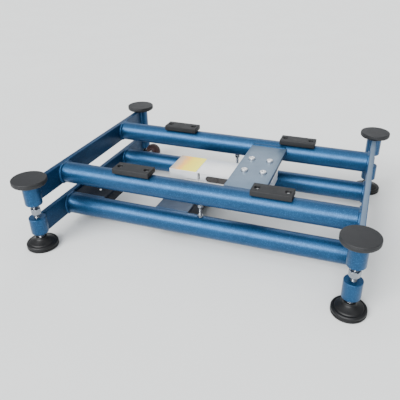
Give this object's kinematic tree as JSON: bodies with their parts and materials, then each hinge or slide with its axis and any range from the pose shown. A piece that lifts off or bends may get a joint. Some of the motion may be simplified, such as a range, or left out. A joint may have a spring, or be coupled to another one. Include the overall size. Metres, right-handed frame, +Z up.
{
  "type": "bench platform scale frame",
  "caption": "Open tubular bench scale frame: blue upper and lower frames joined by a single-point load cell, rubber corner pads for a pan and screw-adjusted levelling feet.",
  "frame": {"origin": "on the floor, under the middle of the frame", "axes": "+X along the tubes towards the end farther from the column channel, +Y to the rear, +Z up"},
  "size_m": [0.492, 0.381, 0.1115],
  "materials": {
    "frame_blue": "satin blue powder coat with a fine metallic speckle",
    "bridge_grey_blue": "satin blue powder coat on flat plate, looks grey-blue where it catches the light",
    "black_rubber": "matte black moulded rubber",
    "foot_black": "semi-gloss black moulded plastic",
    "zinc_steel": "bright zinc-plated steel",
    "cell_aluminium": "machined and brushed silver aluminium",
    "knob_dark_brown": "dark brown-black moulded plastic"
  },
  "bodies": {
    "base_frame": {"base_end_plate_left": "frame_blue", "base_end_plate_right": "frame_blue", "base_tube_front": "frame_blue", "base_tube_rear": "frame_blue", "cell_cross_channel": "frame_blue", "column_mount_channel": "frame_blue", "base_boss_front_left": "frame_blue", "base_boss_front_right": "frame_blue", "base_boss_rear_left": "frame_blue", "base_boss_rear_right": "frame_blue", "load_cell": "cell_aluminium", "cell_riser_block": "cell_aluminium"},
    "load_frame": {"load_end_plate_left": "frame_blue", "load_end_plate_right": "frame_blue", "load_tube_front": "frame_blue", "load_tube_rear": "frame_blue", "bridge_plate": "bridge_grey_blue", "load_boss_front_left": "frame_blue", "load_boss_front_right": "frame_blue", "load_boss_rear_left": "frame_blue", "load_boss_rear_right": "frame_blue", "pan_pad_front_left": "black_rubber", "pan_pad_front_right": "black_rubber", "pan_pad_rear_left": "black_rubber", "pan_pad_rear_right": "black_rubber", "rest_block_front_left": "black_rubber", "rest_block_front_right": "black_rubber", "rest_block_rear_left": "black_rubber", "rest_block_rear_right": "black_rubber", "bridge_screw_front_inner": "zinc_steel", "bridge_screw_front_outer": "zinc_steel", "bridge_screw_rear_inner": "zinc_steel", "bridge_screw_rear_outer": "zinc_steel", "rest_block_screw_front_left_inner": "zinc_steel", "rest_block_screw_front_left_outer": "zinc_steel", "rest_block_screw_front_right_inner": "zinc_steel", "rest_block_screw_front_right_outer": "zinc_steel", "rest_block_screw_rear_left_inner": "zinc_steel", "rest_block_screw_rear_left_outer": "zinc_steel", "rest_block_screw_rear_right_inner": "zinc_steel", "rest_block_screw_rear_right_outer": "zinc_steel"},
    "foot_pad_front_left": {"foot_base_front_left": "foot_black"},
    "foot_pad_front_right": {"foot_base_front_right": "foot_black"},
    "foot_pad_rear_left": {"foot_base_rear_left": "foot_black"},
    "foot_pad_rear_right": {"foot_base_rear_right": "foot_black"},
    "foot_screw_front_left": {"foot_stud_front_left": "zinc_steel"},
    "foot_screw_front_right": {"foot_stud_front_right": "zinc_steel"},
    "foot_screw_rear_left": {"foot_stud_rear_left": "zinc_steel"},
    "foot_screw_rear_right": {"foot_stud_rear_right": "zinc_steel"},
    "overload_stop_front_left": {"stop_screw_front_left": "zinc_steel", "lock_nut_front_left": "zinc_steel"},
    "overload_stop_front_right": {"stop_screw_front_right": "zinc_steel", "lock_nut_front_right": "zinc_steel"},
    "overload_stop_rear_left": {"stop_screw_rear_left": "zinc_steel", "lock_nut_rear_left": "zinc_steel"},
    "overload_stop_rear_right": {"stop_screw_rear_right": "zinc_steel", "lock_nut_rear_right": "zinc_steel"},
    "middle_stop_front": {"centre_stop_front": "zinc_steel"},
    "middle_stop_rear": {"centre_stop_rear": "zinc_steel"},
    "clamp_knob": {"column_clamp_knob": "knob_dark_brown"}
  },
  "joints": [
    {"name": "weighing_deflection", "type": "slide", "parent": "base_frame", "child": "load_frame", "axis": [0, 0, -1], "range_m": [0, 0.001], "stiffness_N_per_m": 100000, "springref_m": -0.001, "deforming": ["load_cell"]},
    {"name": "foot_travel_front_left", "type": "slide", "parent": "base_frame", "child": "foot_pad_front_left", "axis": [0, 0, -1], "range_m": [0, 0.006]},
    {"name": "foot_turn_front_left", "type": "hinge", "parent": "foot_pad_front_left", "child": "foot_screw_front_left", "pos_m": [-0.222, -0.1665, 0.0174], "axis": [0, 0, -1], "range_deg": [0, 1441]},
    {"name": "foot_travel_front_right", "type": "slide", "parent": "base_frame", "child": "foot_pad_front_right", "axis": [0, 0, -1], "range_m": [0, 0.006]},
    {"name": "foot_turn_front_right", "type": "hinge", "parent": "foot_pad_front_right", "child": "foot_screw_front_right", "pos_m": [0.222, -0.1665, 0.0174], "axis": [0, 0, -1], "range_deg": [0, 1441]},
    {"name": "foot_travel_rear_left", "type": "slide", "parent": "base_frame", "child": "foot_pad_rear_left", "axis": [0, 0, -1], "range_m": [0, 0.006]},
    {"name": "foot_turn_rear_left", "type": "hinge", "parent": "foot_pad_rear_left", "child": "foot_screw_rear_left", "pos_m": [-0.222, 0.1665, 0.0174], "axis": [0, 0, -1], "range_deg": [0, 1441]},
    {"name": "foot_travel_rear_right", "type": "slide", "parent": "base_frame", "child": "foot_pad_rear_right", "axis": [0, 0, -1], "range_m": [0, 0.006]},
    {"name": "foot_turn_rear_right", "type": "hinge", "parent": "foot_pad_rear_right", "child": "foot_screw_rear_right", "pos_m": [0.222, 0.1665, 0.0174], "axis": [0, 0, -1], "range_deg": [0, 1441]},
    {"name": "stop_adjust_front_left", "type": "slide", "parent": "base_frame", "child": "overload_stop_front_left", "axis": [0, 0, 1], "range_m": [-0.005, 0]},
    {"name": "stop_adjust_front_right", "type": "slide", "parent": "base_frame", "child": "overload_stop_front_right", "axis": [0, 0, 1], "range_m": [-0.005, 0]},
    {"name": "stop_adjust_rear_left", "type": "slide", "parent": "base_frame", "child": "overload_stop_rear_left", "axis": [0, 0, 1], "range_m": [-0.005, 0]},
    {"name": "stop_adjust_rear_right", "type": "slide", "parent": "base_frame", "child": "overload_stop_rear_right", "axis": [0, 0, 1], "range_m": [-0.005, 0]},
    {"name": "middle_stop_adjust_front", "type": "slide", "parent": "base_frame", "child": "middle_stop_front", "axis": [0, 0, 1], "range_m": [-0.004, 0]},
    {"name": "middle_stop_adjust_rear", "type": "slide", "parent": "base_frame", "child": "middle_stop_rear", "axis": [0, 0, 1], "range_m": [-0.004, 0]},
    {"name": "clamp_knob_turn", "type": "hinge", "parent": "base_frame", "child": "clamp_knob", "pos_m": [-0.179, 0.1245, 0.0386], "axis": [0, 1, 0], "continuous": true}
  ],
  "couplings": [
    {"joint": "foot_turn_front_left", "follows": "foot_travel_front_left", "rad_per_m": 4188.8},
    {"joint": "foot_turn_front_right", "follows": "foot_travel_front_right", "rad_per_m": 4188.8},
    {"joint": "foot_turn_rear_left", "follows": "foot_travel_rear_left", "rad_per_m": 4188.8},
    {"joint": "foot_turn_rear_right", "follows": "foot_travel_rear_right", "rad_per_m": 4188.8}
  ]
}
